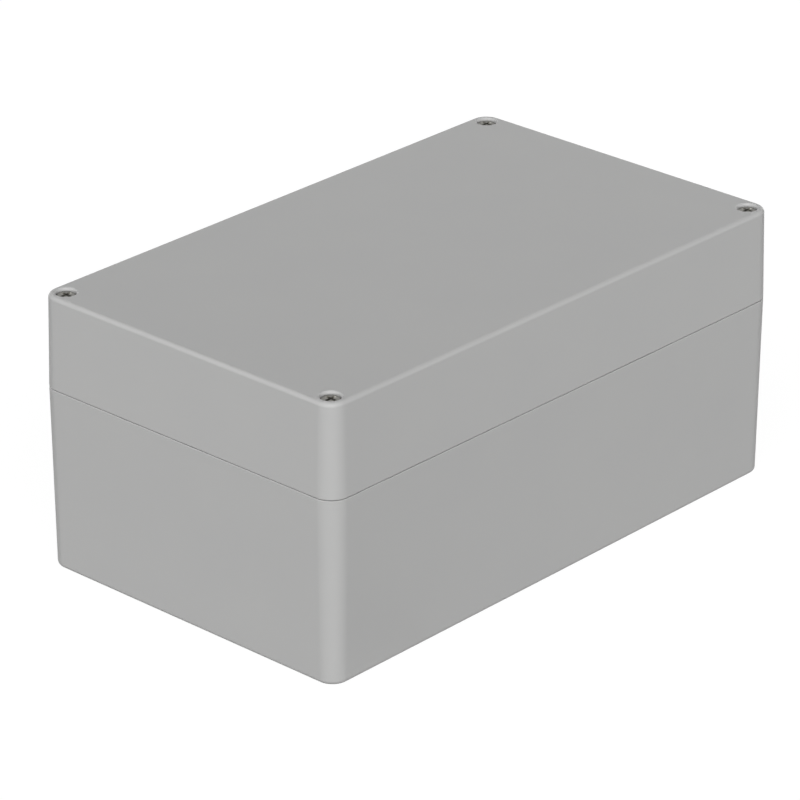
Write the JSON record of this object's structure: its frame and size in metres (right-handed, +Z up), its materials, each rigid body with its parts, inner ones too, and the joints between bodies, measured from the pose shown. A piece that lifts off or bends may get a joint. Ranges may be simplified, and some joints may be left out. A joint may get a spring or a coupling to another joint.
{
  "type": "polycarbonate enclosure",
  "caption": "Sealed two-part moulded box with a deep lid, sunk captive screws in its corners, a tongue and groove gasket seal and channels for wall mounting screws.",
  "frame": {"origin": "middle of the underside of the base", "axes": "+X along the box, +Y across it, +Z up through the lid"},
  "size_m": [0.2, 0.12, 0.09],
  "materials": {
    "shell": "fine moulded satin",
    "seal": "matt",
    "screw_steel": "turned, bright",
    "washer": "natural nylon",
    "insert_brass": "turned"
  },
  "bodies": {
    "base": {"base": "shell", "thread_insert_1": "insert_brass", "thread_insert_2": "insert_brass", "thread_insert_3": "insert_brass", "thread_insert_4": "insert_brass"},
    "lid": {"lid": "shell", "gasket": "seal"},
    "washer_1": {"captive_washer_1": "washer"},
    "screw_1": {"lid_screw_1": "screw_steel"},
    "washer_2": {"captive_washer_2": "washer"},
    "screw_2": {"lid_screw_2": "screw_steel"},
    "washer_3": {"captive_washer_3": "washer"},
    "screw_3": {"lid_screw_3": "screw_steel"},
    "washer_4": {"captive_washer_4": "washer"},
    "screw_4": {"lid_screw_4": "screw_steel"}
  },
  "joints": [
    {"name": "lid_lift", "type": "slide", "parent": "base", "child": "lid", "axis": [0, 0, 1], "range_m": [0, 0.12]},
    {"name": "screw_rise_1", "type": "slide", "parent": "lid", "child": "washer_1", "axis": [0, 0, 1], "range_m": [0, 0.009]},
    {"name": "screw_turn_1", "type": "hinge", "parent": "washer_1", "child": "screw_1", "pos_m": [-0.0939, -0.0539, 0.06], "axis": [0, 0, 1], "range_deg": [0, 5400]},
    {"name": "screw_rise_2", "type": "slide", "parent": "lid", "child": "washer_2", "axis": [0, 0, 1], "range_m": [0, 0.009]},
    {"name": "screw_turn_2", "type": "hinge", "parent": "washer_2", "child": "screw_2", "pos_m": [0.0939, -0.0539, 0.06], "axis": [0, 0, 1], "range_deg": [0, 5400]},
    {"name": "screw_rise_3", "type": "slide", "parent": "lid", "child": "washer_3", "axis": [0, 0, 1], "range_m": [0, 0.009]},
    {"name": "screw_turn_3", "type": "hinge", "parent": "washer_3", "child": "screw_3", "pos_m": [0.0939, 0.0539, 0.06], "axis": [0, 0, 1], "range_deg": [0, 5400]},
    {"name": "screw_rise_4", "type": "slide", "parent": "lid", "child": "washer_4", "axis": [0, 0, 1], "range_m": [0, 0.009]},
    {"name": "screw_turn_4", "type": "hinge", "parent": "washer_4", "child": "screw_4", "pos_m": [-0.0939, 0.0539, 0.06], "axis": [0, 0, 1], "range_deg": [0, 5400]}
  ],
  "couplings": [
    {"joint": "screw_turn_1", "follows": "screw_rise_1", "rad_per_m": 10472},
    {"joint": "screw_turn_2", "follows": "screw_rise_2", "rad_per_m": 10472},
    {"joint": "screw_turn_3", "follows": "screw_rise_3", "rad_per_m": 10472},
    {"joint": "screw_turn_4", "follows": "screw_rise_4", "rad_per_m": 10472}
  ]
}
